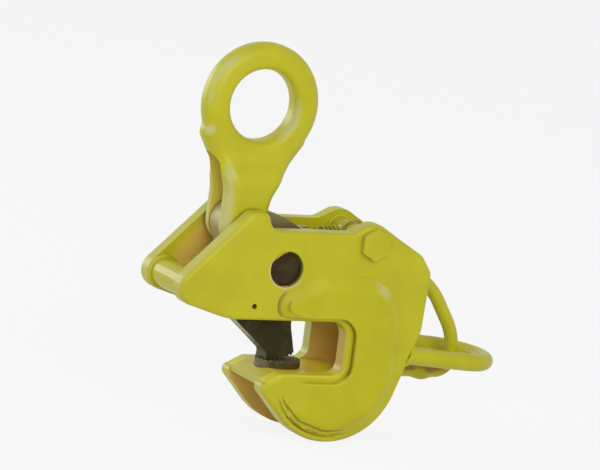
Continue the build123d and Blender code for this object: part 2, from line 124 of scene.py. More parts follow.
class Finish:  # one node tree, of a material or the world
    def __init__(self, tree):
        self.tree = tree
        tree.nodes.clear()

    def node(self, kind, settings, sockets, out=0):
        made = self.tree.nodes.new(kind)
        for key, value in settings.items():
            setattr(made, key, value)
        for key, value in sockets.items():
            if isinstance(value, Wire):
                self.tree.links.new(value.socket, made.inputs[key])
            else:
                made.inputs[key].default_value = value
        return Wire(self, made.outputs[out]) if made.outputs else None

    def place(self, axis=None):  # where on the object, in metres
        spot = self.node("ShaderNodeTexCoord", {}, {}, "Object")
        return self.node("ShaderNodeSeparateXYZ", {}, {0: spot}, axis) if axis else spot

    def noise(self, scale, detail, rough=0.55):  # soft random values about one half
        return self.node("ShaderNodeTexNoise", {}, {
            "Vector": self.place(), "Scale": scale, "Detail": detail, "Roughness": rough}, "Fac")

    def sway(self, noise, reach):  # such values about zero, spread over this reach
        return (noise - 0.5) * reach

    def absolute(self, value):
        return self.node("ShaderNodeMath", {"operation": "ABSOLUTE"}, {0: value})

    def step(self, value, low, high):  # 0 below low, 1 above high, smooth between
        return self.node("ShaderNodeMapRange", {"interpolation_type": "SMOOTHSTEP"}, {
            "Value": value, "From Min": low, "From Max": high})

    def near(self, value, middle, reach):  # 1 close to the middle, fading to 0 between the two reaches
        return 1.0 - self.step(self.absolute(value - middle), *reach)

    def blend(self, share, first, second):  # mix of two colours
        return self.node("ShaderNodeMix", {"data_type": "RGBA"}, {0: share, 6: first, 7: second}, 2)

    def hollow(self, reach):  # 1 deep in a gap, 0 in the open
        return 1.0 - self.node("ShaderNodeAmbientOcclusion", {"samples": 12}, {"Distance": reach}, "AO")

    def ridge(self, reach):  # 1 on an outward edge, 0 on a flat face
        inside = {"samples": 8, "inside": True, "only_local": True}
        return 1.0 - self.node("ShaderNodeAmbientOcclusion", inside, {"Distance": reach}, "AO")

    def facing(self, axis):  # the surface normal's share along an axis
        normal = self.node("ShaderNodeNewGeometry", {}, {}, "Normal")
        return self.node("ShaderNodeVectorMath", {"operation": "DOT_PRODUCT"}, {0: normal, 1: axis}, "Value")

    def along(self, axis, origin):  # distance past a point along a direction
        past = self.node("ShaderNodeVectorMath", {"operation": "SUBTRACT"}, {0: self.place(), 1: origin})
        return self.node("ShaderNodeVectorMath", {"operation": "DOT_PRODUCT"}, {0: past, 1: axis}, "Value")

    def about(self, centre):  # x, z and distance from an axis across the clamp
        x = self.place("X") - centre.x
        z = self.place("Z") - centre.z
        return x, z, (x * x + z * z) ** 0.5

    def bump(self, height, depth, strength):
        return self.node("ShaderNodeBump", {}, {"Height": height, "Distance": depth, "Strength": strength})

    def close(self, sockets):  # the shader and the output
        shader = self.node("ShaderNodeBsdfPrincipled", {}, sockets)
        self.node("ShaderNodeOutputMaterial", {}, {"Surface": shader})


def newMaterial(name):
    material = bpy.data.materials.new(name)
    material.use_nodes = True
    return material, Finish(material.node_tree)


# Paint

enamel = {  # lengths in metres; a range is where a mark starts and where it is whole
    "colour": tone(192, 187, 25),
    "thin": tone(184, 177, 25),  # where the coat is thin
    "thinRange": (0.35, 0.7),
    "cloudScale": 22.0,  # broad changes
    "grainScale": 160.0,  # fine changes
    "peelScale": 620.0,  # orange peel
    "peelHeight": 0.00012,
    "cloudHeight": 2.0,  # against the peel
    "grainHeight": 0.4,
    "bump": 0.6,
    "fleck": tone(196, 178, 14),  # warmer flecks
    "fleckScale": 90.0,
    "fleckRange": (0.5, 0.72),
    "fleckShare": 0.35,
    "scuff": tone(202, 202, 140),  # rubbed spots; the glint uses this tone as a painted highlight
    "scuffScale": 34.0,
    "scuffRange": (0.68, 0.8),
    "scuffGrain": (0.42, 0.6),
    "scuffShare": 0.3,
    "paintedHighlight": tone(186, 190, 126),  # painted highlight on what faces forwards and up
    "highlightFrom": (-0.9, 0.2, 0.38),
    "highlightSway": 0.6,
    "highlightRange": (0.45, 0.85),
    "highlightShare": 0.2,
    "wearAndHighlight": tone(206, 205, 128),  # rubbed edges, and the painted highlight on the far plate's jaw wall
    "edgeReach": 0.0022,
    "edgeSway": 0.25,
    "edgeRange": (0.35, 0.75),
    "edgeShare": 0.28,
    "gapShade": tone(232, 194, 98),  # painted brown shade on faces inside the gaps
    "gapShadeOn": None,  # "between" for faces towards the middle plane, or the direction of the shaded faces
    "gapShadeInward": (0.002, 0.008),  # how far from the middle plane the first kind lies
    "gapShadeFacing": (0.3, 0.8),  # how squarely the second kind faces its direction
    "gapShadeReach": 0.08,
    "gapShadeSway": 0.2,
    "gapShadeRange": (0.25, 0.7),  # how hollow the place is
    "gapShadeEnds": (),  # where the painted shade fades out: a direction, and from and to how far from the main pin
    "gapShadeEndSway": 0.01,
    "creaseShade": tone(112, 88, 34),  # painted brown shade in creases and inner corners
    "creaseShadeReach": 0.007,
    "creaseShadeSway": 0.2,
    "creaseShadeRange": (0.34, 0.66),
    "creaseShadeShare": 0.7,
    "creaseShadeAbove": (0.002, 0.012),  # height over the floor, because what rests there isn't a crease
    "grooveShade": tone(126, 96, 36),  # painted shade in drawn lines and grooves
    "nose": None,  # painted shade lines round the nose of a raised rim
    "creases": None,  # grooves round the belly of a plate, bumped in and darkened with painted shade
    # tone of the painted light on slopes
    "pale": tone(208, 202, 44),
    "lifts": (),  # slopes painted lighter against their shade: direction, heights over the main pin to fade between, share
    "liftFacing": (0.0, 0.4),
    "liftFlat": (0.86, 0.97),  # faces square to the pins are left as they are
    "liftSway": 0.03,
    "boreHighlight": tone(206, 190, 132),
    "lip": None,  # a painted highlight on the lower front of a bore's rim
    "wall": None,  # back wall of the jaw, with painted shade on the near plate and a painted highlight on the far one
    "bright": tone(236, 226, 66),
    "floor": None,  # edges along the jaw's floor, painted lighter against their shade
    "glint": None,  # a painted highlight along a crest
    "roughness": 0.36,
    "grainRough": 0.16,
    "creaseShadeRough": 0.25,
    "scuffRough": 0.2,
    "gloss": 0.32,
    "coat": 0.0,
    "coatRoughness": 0.08,
}


def fleckShare(finish, look):
    flecks = finish.noise(look["fleckScale"], detail=2.0)
    return finish.step(flecks, *look["fleckRange"]) * look["fleckShare"]


def scuffShare(finish, look, grain):
    spots = finish.noise(look["scuffScale"], detail=5.0, rough=0.7)
    where = finish.step(spots, *look["scuffRange"]) * finish.step(grain, *look["scuffGrain"])
    return where * look["scuffShare"]


# painted highlight on faces turned towards the light, broken up by the cloud noise
def highlightShare(finish, look, cloud):
    facing = finish.facing(look["highlightFrom"]) + finish.sway(cloud, look["highlightSway"])
    return finish.step(facing, *look["highlightRange"]) * look["highlightShare"]


def edgeShare(finish, look, grain):
    edge = finish.ridge(look["edgeReach"]) + finish.sway(grain, look["edgeSway"])
    return finish.step(edge, *look["edgeRange"]) * look["edgeShare"]


# painted brown shade where a crease or inner corner is hollow, kept off what rests on the floor
def creaseShadeShare(finish, look, grain):
    deep = finish.hollow(look["creaseShadeReach"]) + finish.sway(grain, look["creaseShadeSway"])
    low, high = look["creaseShadeAbove"]
    clear = finish.step(finish.place("Z"), cadLow.z + low, cadLow.z + high)
    return finish.step(deep, *look["creaseShadeRange"]) * look["creaseShadeShare"] * clear


# where the belly grooves run, for their painted shade and their bump
def creaseShare(finish, crease):
    x, z, radius = finish.about(crease["centre"])
    ahead = x * crease["towards"][0] + z * crease["towards"][1]
    where = finish.step(ahead - radius * crease["spread"], 0.0, crease["fade"])
    where = where * finish.step(finish.absolute(finish.place("Y")), *crease["level"])
    wandering = radius + finish.sway(finish.noise(crease["wanderScale"], detail=2.0), crease["wander"])
    lines = 0.0
    for ring, share in crease["rings"]:
        lines = lines + finish.near(wandering, ring, crease["line"]) * share
    return where * lines


# Marks that only some pieces have: each gives its shares and tones, or none

# painted brown shade on faces between the plates or turned one way, where they lie in a hollow
def gapShadeCoats(finish, look, cloud):
    if look["gapShadeOn"] is None:
        return []
    if look["gapShadeOn"] == "between":
        inward = 0.0 - finish.place("Y") * finish.facing(alongY)
        where = finish.step(inward, *look["gapShadeInward"])
    else:
        where = finish.step(finish.facing(look["gapShadeOn"]), *look["gapShadeFacing"])
    for direction, start, end in look["gapShadeEnds"]:
        past = finish.along(direction, pinAxis) + finish.sway(cloud, look["gapShadeEndSway"])
        where = where * (1.0 - finish.step(past, start, end))
    deep = finish.hollow(look["gapShadeReach"]) + finish.sway(cloud, look["gapShadeSway"])
    return [(where * finish.step(deep, *look["gapShadeRange"]), look["gapShade"])]


def noseCoats(finish, look):  # painted shade: a line at the foot of the slope, one at its crest and a tint over the slope
    nose = look["nose"]
    if nose is None:
        return []
    level = finish.absolute(finish.place("Y"))
    foot = 1.0 - finish.step(level, *nose["foot"])
    start, whole, end = nose["crest"]
    crest = finish.step(level, start, whole) * (1.0 - finish.step(level, whole, end))
    slope = finish.step(finish.facing(forwards), *nose["slope"])
    front = 1.0 - finish.step(finish.place("X"), *nose["front"])
    upper = finish.step(finish.place("Z"), *nose["low"])
    lines = foot * nose["footShare"] + crest * nose["crestShare"] + nose["slopeShare"]
    return [(front * upper * slope * lines, look["grooveShade"])]


# painted light: slopes turned one way are made lighter, fading out above a height
def liftCoats(finish, look, cloud):
    coats = []
    for direction, fading, top, share in look["lifts"]:
        flat = finish.step(finish.absolute(finish.facing(alongY)), *look["liftFlat"])
        slope = finish.step(finish.facing(direction), *look["liftFacing"]) * (1.0 - flat)
        height = finish.along(alongZ, pinAxis) + finish.sway(cloud, look["liftSway"])
        coats.append((slope * (1.0 - finish.step(height, fading, top)) * share, look["pale"]))
    return coats


# painted highlight on the lower front half of the bore's rim
def lipCoats(finish, look):
    lip = look["lip"]
    if lip is None:
        return []
    x, z, radius = finish.about(pinAxis)
    ring = finish.near(radius, lip["radius"], lip["line"])
    half = finish.step(x * lip["towards"][0] + z * lip["towards"][1], *lip["fade"])
    return [(ring * half * lip["share"], look["boreHighlight"])]


# painted shade on the near plate's jaw wall and a painted highlight on the far plate's
def wallCoats(finish, look):
    wall = look["wall"]
    if wall is None:
        return []
    there = finish.near(finish.place("X"), wall["x"], wall["reach"])
    there = there * finish.step(finish.facing(forwards), *wall["facing"])
    far = finish.step(finish.place("Y"), *wall["farFrom"])
    return [
        (there * (1.0 - far) * wall["nearShare"], look["gapShade"]),
        (there * far * wall["farShare"], look["wearAndHighlight"]),
    ]


# painted light on upward edges along the jaw's floor
def floorCoats(finish, look):
    floor = look["floor"]
    if floor is None:
        return []
    there = finish.near(finish.place("Z"), floor["z"], floor["reach"])
    return [(there * finish.step(finish.facing(alongZ), *floor["facing"]) * floor["share"], look["bright"])]


# painted highlight: streaks on a crest that faces the light
def glintCoats(finish, look, cloud):
    glint = look["glint"]
    if glint is None:
        return []
    streak = finish.step(finish.facing(glint["towards"]), *glint["facing"])
    return [(streak * finish.step(cloud, *glint["cloud"]) * glint["share"], look["scuff"])]


def paintFinish(name, changes):
    look = {**enamel, **changes}
    material, finish = newMaterial(name)
    cloud = finish.noise(look["cloudScale"], detail=3.0)
    grain = finish.noise(look["grainScale"], detail=4.0)
    peel = finish.noise(look["peelScale"], detail=2.0)
    height = peel + cloud * look["cloudHeight"] + grain * look["grainHeight"]
    scuff = scuffShare(finish, look, grain)
    creaseShade = creaseShadeShare(finish, look, grain)
    grooves = []
    # the belly grooves are darkened with painted shade and bumped in
    if look["creases"]:
        crease = creaseShare(finish, look["creases"])
        grooves.append((crease * look["creases"]["share"], look["grooveShade"]))
        height = height - crease * look["creases"]["depth"]
    coats = [  # share and tone, the last on top
        (fleckShare(finish, look), look["fleck"]),
        (scuff, look["scuff"]),
        (highlightShare(finish, look, cloud), look["paintedHighlight"]),
        (edgeShare(finish, look, grain), look["wearAndHighlight"]),
        *gapShadeCoats(finish, look, cloud),
        (creaseShade, look["creaseShade"]),
        *noseCoats(finish, look),
        *grooves,
        *liftCoats(finish, look, cloud),
        *lipCoats(finish, look),
        *wallCoats(finish, look),
        *floorCoats(finish, look),
        *glintCoats(finish, look, cloud),
    ]
    colour = finish.blend(finish.step(cloud, *look["thinRange"]), look["colour"], look["thin"])
    for share, coat in coats:
        colour = finish.blend(share, colour, coat)
    rough = look["roughness"] + finish.sway(grain, look["grainRough"])
    finish.close({
        "Base Color": colour,
        "Roughness": rough + creaseShade * look["creaseShadeRough"] + scuff * look["scuffRough"],
        "Normal": finish.bump(height, look["peelHeight"], look["bump"]),
        "Specular IOR Level": look["gloss"],
        "Coat Weight": look["coat"],
        "Coat Roughness": look["coatRoughness"],
    })
    return material


# Steel

darkSteel = {
    "colour": tone(50, 45, 20),
    "patch": tone(72, 66, 36),
    "patchRange": (0.4, 0.68),
    "bare": tone(158, 150, 112),  # ground or rubbed metal, also standing for a painted reflection on the cut edges
    "cloudScale": 60.0,
    "speckScale": 420.0,
    "speckRange": (0.66, 0.76),
    "speckShare": 0.4,
    "edgeReach": 0.0016,
    "edgeSway": 0.5,
    "edgeRange": (0.4, 0.8),
    "edgeShare": 0.5,
    "rim": 1.0,  # share of bare metal on the cut edge, partly a painted reflection
    "rimTurn": (0.4, 0.8),  # how far a face turns away from the flanks
    "rimRange": (0.55, 0.95),
    "bareFrom": None,  # height above which the cut edge is bare
    "bareFade": 0.012,
    "bareLow": 0.15,  # what is left of it below
    "paleAbove": None,  # height above which the flanks are paler
    "paleAboveFade": 0.02,
    "paleAboveShare": 0.6,
    "gapReach": 0.02,  # dark in the gaps
    "gapRange": (0.45, 0.95),
    "gapShare": 0.4,
    "caps": (),  # paint run over the ends: direction and distance from the main pin
    "capSway": 0.002,
    "capFade": 0.0005,
    "metallic": 0.35,
    "roughness": 0.5,
    "speckRough": 0.3,
    "cloudRough": 0.2,
    "gloss": 0.2,
    "pitDepth": 0.00025,
    "cloudHeight": 2.0,  # against the pits
    "bump": 0.7,
}


# the cut edges are bare metal and also carry a painted reflection of the light
def rimShare(finish, look, cloud, speck):
    flank = finish.facing(alongY)
    rim = finish.step(1.0 - flank * flank, *look["rimTurn"]) * look["rim"]
    if look["bareFrom"]:
        upper = finish.step(finish.place("Z"), look["bareFrom"] - look["bareFade"], look["bareFrom"])
        rim = rim * (upper * (1.0 - look["bareLow"]) + look["bareLow"])
    return rim * finish.step(cloud + speck, *look["rimRange"])


def steelFinish(name, changes):
    look = {**darkSteel, **changes}
    material, finish = newMaterial(name)
    cloud = finish.noise(look["cloudScale"], detail=5.0, rough=0.6)
    speck = finish.noise(look["speckScale"], detail=4.0, rough=0.7)
    edge = finish.ridge(look["edgeReach"]) + finish.sway(speck, look["edgeSway"])
    coats = [  # share and tone, the last on top
        (finish.step(speck, *look["speckRange"]) * look["speckShare"], look["bare"]),
        (finish.step(edge, *look["edgeRange"]) * look["edgeShare"], look["bare"]),
        (rimShare(finish, look, cloud, speck), look["bare"]),
    ]
    # flanks paler above a height
    if look["paleAbove"]:
        upper = finish.step(finish.place("Z"), look["paleAbove"], look["paleAbove"] + look["paleAboveFade"])
        coats.append((upper * look["paleAboveShare"], look["bare"]))
    gap = finish.step(finish.hollow(look["gapReach"]), *look["gapRange"])
    coats.append((gap * look["gapShare"], look["colour"]))
    for direction, reach in look["caps"]:
        over = finish.along(direction, pinAxis) + finish.sway(cloud, look["capSway"])
        coats.append((finish.step(over, reach, reach + look["capFade"]), enamel["thin"]))
    colour = finish.blend(finish.step(cloud, *look["patchRange"]), look["colour"], look["patch"])
    for share, coat in coats:
        colour = finish.blend(share, colour, coat)
    rough = look["roughness"] + finish.sway(speck, look["speckRough"])
    finish.close({
        "Base Color": colour,
        "Roughness": rough + finish.sway(cloud, look["cloudRough"]),
        "Metallic": look["metallic"],
        "Normal": finish.bump(speck + cloud * look["cloudHeight"], look["pitDepth"], look["bump"]),
        "Specular IOR Level": look["gloss"],
    })
    return material


# Where the marks are, in metres

# painted shade round the nose of the throat rim
rimNose = {
    "foot": (0.0406, 0.0420),  # level from the middle plane over which the line at the foot fades
    "crest": (0.0438, 0.0450, 0.0459),  # where the line at the crest starts, is whole and ends
    "slope": (0.12, 0.4),
    "front": (pinAxis.x + 0.008, pinAxis.x + 0.03),
    "low": (pinAxis.z - 0.06, pinAxis.z - 0.05),
    "footShare": 0.62,
    "crestShare": 0.45,
    "slopeShare": 0.1,
}
# grooves round the belly, darkened with painted shade
bellyCreases = {
    "centre": fromPin(57.0, 0.0, -84.0),
    "rings": [(0.0520, 1.0), (0.0562, 0.8)],  # radius and share
    "line": (0.0002, 0.0014),
    "towards": (-0.40, -0.92),
    "spread": 0.74,  # how far round from there they run: 1 not at all, 0 a half circle
    "fade": 0.006,
    "level": (0.039, 0.04),  # only on the outer faces
    "wander": 0.004,
    "wanderScale": 70.0,
    "share": 0.8,
    "depth": 5.0,  # against the orange peel
}
# where the painted shade between the plates fades out
plateShadeEnds = [
    (Vector((0.27, 0.0, 0.963)), 0.002, 0.03),  # towards the top edge
    (Vector((-0.83, 0.0, 0.56)), 0.05, 0.068),  # towards the front slope
]
# painted highlight round the main pin's bore
boreLip = {
    "radius": 0.0158,
    "line": (0.0005, 0.0012),
    "towards": (-0.7, -0.7),
    "fade": (-0.005, 0.008),
    "share": 0.75,
}
# where the jaw wall's painted shade and painted highlight go
jawWall = {
    "x": pinAxis.x + 0.064,
    "reach": (0.002, 0.004),
    "facing": (0.6, 0.95),
    "farFrom": (-0.001, 0.001),  # the far side starts at the middle plane
    "nearShare": 0.75,
    "farShare": 0.6,
}
# where the jaw floor's painted light goes
jawFloor = {
    "z": pinAxis.z - 0.0915,
    "reach": (0.0045, 0.006),
    "facing": (0.4, 0.85),
    "share": 0.75,
}
# painted highlight on the rim's rear crest
rimGlint = {
    "towards": (0.38, -0.74, 0.555),
    "facing": (0.96, 0.985),
    "cloud": (0.45, 0.56),
    "share": 0.7,
}
rimLift = ((0.94, 0.0, -0.34), 0.2, 0.3, 0.3)  # slopes of the rim that face backwards, painted lighter against their shade
forkLift = ((-0.42, 0.0, 0.0), 0.03, 0.088, 0.5)  # front of the eye's fork, a painted highlight
anvilLift = ((0.8, 0.0, 0.6), 0.2, 0.3, 0.8)  # slopes of the anvil that face back and up, painted lighter against their shade
pinCaps = [(Vector((-0.56, 0.0, 0.83)), 0.0112)]

finishes = {
    # painted shade between the plates, in creases, grooves and on the near jaw wall; painted highlights on forward
    # and upward faces, at the bore, the far jaw wall and the jaw's floor
    "side_paint": paintFinish("sidePlatePaint", {
        "gapShadeOn": "between", "gapShadeEnds": plateShadeEnds, "creases": bellyCreases,
        "lip": boreLip, "wall": jawWall, "floor": jawFloor}),
    # painted shade round the nose, in creases and grooves; painted light on rear slopes, the jaw's floor and the
    # crest
    "rim_paint": paintFinish("throatRimPaint", {
        "edgeShare": 0.0, "highlightShare": 0.0, "nose": rimNose, "creases": bellyCreases, "floor": jawFloor,
        "creaseShade": tone(134, 98, 40), "creaseShadeRange": (0.06, 0.36), "creaseShadeShare": 1.0,
        "glint": rimGlint, "lifts": [rimLift], "gloss": 0.26, "roughness": 0.42}),
    # painted shade in the fork's slot; painted highlights on the ring and the fork's front
    "eye_paint": paintFinish("eyePaint", {
        "gapShadeOn": "between", "gapShade": tone(234, 214, 94), "roughness": 0.34, "edgeShare": 0.0,
        "paintedHighlight": tone(196, 200, 152), "highlightFrom": (-0.70, -0.60, 0.39), "highlightRange": (0.85, 1.0),
        "highlightShare": 0.55, "lifts": [forkLift], "pale": tone(200, 204, 148)}),
    # the tube's paint is darker than the rest: a painted shade over all of it
    "tube_paint": paintFinish("crossTubePaint", {
        "colour": tone(172, 166, 25), "roughness": 0.55, "gloss": 0.15, "coat": 0.42,
        "highlightShare": 0.0, "edgeShare": 0.0}),
    # painted shade under the anvil; painted light on its rear slopes
    "anvil_paint": paintFinish("anvilPaint", {
        "gapShadeOn": (0.0, 0.0, -1.0), "gapShade": tone(178, 146, 74), "lifts": [anvilLift],
        "pale": tone(236, 212, 60)}),
    # painted brown shade on the rods' undersides in hollows
    "rod_paint": paintFinish("rodPaint", {
        "roughness": 0.34, "gapShadeOn": (0.2, 0.0, -0.98), "gapShade": tone(176, 136, 56), "gapShadeReach": 0.04,
        "gapShadeRange": (0.1, 0.4)}),
    "bolt_paint": paintFinish("tieBoltPaint", {"edgeShare": 0.0}),
    # the cut edges carry a painted reflection as well as bare metal
    "cam_steel": steelFinish("camSteel", {
        "bare": tone(168, 157, 110), "paleAbove": pinAxis.z + 0.018, "bareFrom": pinAxis.z - 0.06}),
    "pad_steel": steelFinish("padSteel", {
        "colour": tone(68, 60, 24), "patch": tone(86, 78, 34), "rim": 0.4}),
    "pin_steel": steelFinish("pinSteel", {
        "colour": tone(58, 44, 22), "patch": tone(78, 66, 34), "rim": 0.4, "edgeShare": 0.0}),
    "ring_steel": steelFinish("retainingRingSteel", {
        "colour": tone(60, 46, 24), "rim": 0.0, "edgeShare": 0.1, "caps": pinCaps}),
    "spacer_steel": steelFinish("spacerSteel", {"rim": 0.2}),
    "bush_bronze": steelFinish("bearingBronze", {
        "colour": tone(120, 84, 40), "patch": tone(150, 110, 60), "bare": tone(196, 156, 96),
        "metallic": 0.8}),
    "spring_steel": steelFinish("springWire", {
        "colour": tone(176, 166, 36), "patch": tone(190, 182, 42), "rim": 0.0, "edgeShare": 0.1,
        "metallic": 0.0}),
}
ownFinishes = {  # nodes that look different from the rest of their slot
    # painted brown shade on the web's forward faces
    "rear_web": paintFinish("rearWebPaint", {
        "gapShadeOn": (-1.0, 0.0, 0.0), "gapShade": tone(178, 132, 72), "gapShadeReach": 0.09,
        "gapShadeRange": (-0.5, -0.3)}),
    # painted brown shade on the upper faces of the handle's low run
    "carry_handle": paintFinish("handlePaint", {
        "roughness": 0.34, "gapShadeOn": (0.6, -0.45, 0.66), "gapShade": tone(150, 108, 46), "gapShadeReach": 0.04,
        "gapShadeRange": (-0.3, 0.0), "gapShadeEnds": [(alongZ, -0.094, -0.066)]}),
    "main_pin": steelFinish("mainPinSteel", {
        "colour": tone(48, 36, 15), "patch": tone(64, 54, 26), "rim": 0.3, "edgeShare": 0.0,
        "caps": pinCaps}),
}
for part in frame["record"]["subparts"]:
    piece = nodes[part["node"]]
    piece.data.materials.clear()
    piece.data.materials.append(ownFinishes.get(part["node"], finishes[part["material_slot"]]))


# Swept meshes

def sweepMesh(name, line, radiusAt, sides, closed):
    count = len(line)
    verts = []
    faces = []
    side = None
    travelled = 0.0
    for index, point in enumerate(line):
        ahead = line[(index + 1) % count] if closed else line[min(index + 1, count - 1)]
        behind = line[index - 1] if closed else line[max(index - 1, 0)]
        tangent = (ahead - behind).normalized()
        if side is None:
            side = tangent.orthogonal()
        side = (side - tangent * side.dot(tangent)).normalized()
        over = tangent.cross(side)
        for corner in range(sides):
            angle = 2 * math.pi * corner / sides
            ray = side * math.cos(angle) + over * math.sin(angle)
            verts.append(point + ray * radiusAt(travelled, angle, index / (count - 1)))
        travelled += (ahead - point).length
    rings = count if closed else count - 1
    for index in range(rings):
        near = index * sides
        far = (index + 1) % count * sides
        for corner in range(sides):
            following = (corner + 1) % sides
            faces.append((near + corner, near + following, far + following, far + corner))
    if not closed:
        faces.append(tuple(reversed(range(sides))))
        faces.append(tuple(range((count - 1) * sides, count * sides)))
    mesh = bpy.data.meshes.new(name)
    mesh.from_pydata(verts, [], faces)
    mesh.shade_smooth()
    made = bpy.data.objects.new(name, mesh)
    bpy.context.scene.collection.objects.link(made)
    return made


def spaced(line, gap):  # the same line with points this far apart
    even = [line[0]]
    rest = gap
    for start, end in zip(line, line[1:]):
        run = (end - start).length
        at = rest
        while at <= run:
            even.append(start.lerp(end, at / run))
            at += gap
        rest = at - run
    return even


def curved(points, steps):  # smooth line through the points
    ends = [points[0], *points, points[-1]]
    line = []
    for before, start, end, after in zip(ends, ends[1:], ends[2:], ends[3:]):
        for index in range(steps):
            t = index / steps
            pull = (end - before) * t + (2 * before - 5 * start + 4 * end - after) * t ** 2
            line.append(start + (pull + (3 * start - before - 3 * end + after) * t ** 3) / 2)
    return [*line, points[-1]]


def ringLine(centre, radius, first, second):  # circle on two unit directions
    count = 72
    turn = 2 * math.pi / count
    angles = [index * turn for index in range(count)]
    return [centre + (first * math.cos(angle) + second * math.sin(angle)) * radius for angle in angles]


# Welds

weld = {  # metres
    "pitch": 0.0021,
    "ripple": 0.16,  # share of the radius
    "rippleMiddle": 0.6,
    "lean": 0.6,  # how far a ripple bows forwards, in radii
    "waves": (310, 770),  # slower changes of width, radians per metre
    "wander": 0.12,  # their share of the radius
    "taper": 8.0,  # how soon a bead is whole from its ends
    "tip": 0.15,
    "step": 0.0005,
    "sides": 14,
    "seed": 7,
}
weldDraw = random.Random(weld["seed"])
# the beads carry painted shade in their ripples
beadPaint = paintFinish("weldPaint", {"creaseShadeReach": 0.004, "creaseShadeShare": 0.9, "edgeShare": 0.0})


def weldBead(name, line, closed, radius):  # radius in millimetres
    size = radius / 1000
    even = spaced(line + [line[0]] if closed else line, weld["step"])
    phases = [weldDraw.uniform(0, 2 * math.pi) for _ in range(3)]  # the third is spare

    def radiusAt(travelled, angle, share):
        bow = weld["lean"] * size * math.cos(angle)
        ripple = abs(math.sin(math.pi * (travelled + bow) / weld["pitch"])) - weld["rippleMiddle"]
        slow, quick = (travelled * wave for wave in weld["waves"])
        wander = (math.sin(slow + phases[0]) + math.sin(quick + phases[1] + angle)) / 2
        end = 1.0 if closed else min(1.0, weld["taper"] * min(share, 1 - share) + weld["tip"]) ** 0.5
        return size * end * (1 + weld["ripple"] * ripple + weld["wander"] * wander)

    made = sweepMesh(name, even, radiusAt, weld["sides"], closed)
    made.data.materials.append(beadPaint)
    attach(made, "frame")


seams = {  # millimetres from the main pin; a ring has its place, its radius and its bead
    "innerY": 25.0,
    "outerY": 40.0,
    "tubeBead": 2.6,
    "spacer": (78.5, 24.0, 10.5, 1.8),
    "webBack": [(132.0, 2.0), (130.0, -49.0), (113.3, -98.0)],
    "webFront": [(120.0, 2.0), (118.0, -51.0), (101.3, -98.0)],
    "anvilLow": [(10.0, -107.5), (78.0, -107.5)],
    "straightBead": 2.4,
    "standOff": 0.4,  # a straight bead's middle from the inner face
    "loopRoot": (127.6, 32.5, -71.5, 7.6, 2.2),
    "belly": (57.0, -84.0),
    "bellyRuns": [(54.7, 211, 282, 1.7), (59.4, 209, 280, 2.0)],  # radius, from and to in degrees, bead
    "bellyPoints": 61,
    "bellySink": 0.3,  # their middle under the outer face
    "handleTop": (132.4, -3.4, 5.9, 2.0),
    "handleLow": (116.0, -91.0, 5.9, 2.0),
}
rearSlope = Vector((-0.329, 0.0, -0.944))  # down the plates' rear edge
tubeLow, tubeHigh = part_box("front_cross_tube")
tubeMid = (tubeLow + tubeHigh) / 2
tubeRadius = (tubeHigh.z - tubeLow.z) / 2


def sideWelds(side, sign):
    innerY = sign * seams["innerY"]
    centre = Vector((tubeMid.x, sign * tubeHigh.y, tubeMid.z))
    weldBead(f"{side}_tube_weld", ringLine(centre, tubeRadius, alongX, alongZ), True, seams["tubeBead"])
    x, z, radius, bead = seams["spacer"]
    ring = ringLine(fromPin(x, innerY, z), radius / 1000, alongX, alongZ)
    weldBead(f"{side}_spacer_weld", ring, True, bead)
    for key in ("webBack", "webFront", "anvilLow"):
        line = [fromPin(x, innerY - sign * seams["standOff"], z) for x, z in seams[key]]
        weldBead(f"{side}_{key}_weld", line, False, seams["straightBead"])
    x, y, z, radius, bead = seams["loopRoot"]
    ring = ringLine(fromPin(x, sign * y, z), radius / 1000, rearSlope, alongY)
    weldBead(f"{side}_loopRoot_weld", ring, True, bead)
    x, z = seams["belly"]
    face = sign * (seams["outerY"] - seams["bellySink"])
    count = seams["bellyPoints"]
    for index, (radius, start, end, bead) in enumerate(seams["bellyRuns"]):
        turns = [math.radians(start + (end - start) * i / (count - 1)) for i in range(count)]
        arc = [fromPin(x + radius * math.cos(t), face, z + radius * math.sin(t)) for t in turns]
        weldBead(f"{side}_belly{index}_weld", arc, False, bead)


for side, sign in (("near", -1), ("far", 1)):
    sideWelds(side, sign)
for key, down in (("handleTop", -alongZ), ("handleLow", rearSlope)):
    x, z, radius, bead = seams[key]
    weldBead(f"{key}_weld", ringLine(fromPin(x, 0, z), radius / 1000, down, alongY), True, bead)

lump = {  # weld and thick paint on the handle's lower run, millimetres
    "run": (149.0, 174.0),
    "level": -91.0,
    "bar": 5.6,  # a little under the bar's own radius, so that the ends are hidden
    "swell": 1.9,
    "fullness": 0.8,  # under 1 the swell rises sooner
    "knots": 0.4,  # share of the swell that comes and goes
    "knotTurn": 7.0,  # radians over the run
    "knotStart": -1.4,
    "twist": 5.0,
    "sides": 28,
}


def lumpRadius(_, angle, share):
    along = math.sin(lump["knotTurn"] * share + lump["knotStart"] + math.cos(angle) / 2)
    around = math.sin(2 * angle + lump["twist"] * share) / 2
    swell = math.sin(math.pi * share) ** lump["fullness"] * (1 + lump["knots"] * (along + around))
    return (lump["bar"] + lump["swell"] * swell) / 1000


lumpLine = spaced([fromPin(x, 0, lump["level"]) for x in lump["run"]], weld["step"])
handleLump = sweepMesh("handleRun_weld", lumpLine, lumpRadius, lump["sides"], False)
# the lump takes the handle's painted shade
handleLump.data.materials.append(ownFinishes["carry_handle"])
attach(handleLump, "frame")


# Closing spring

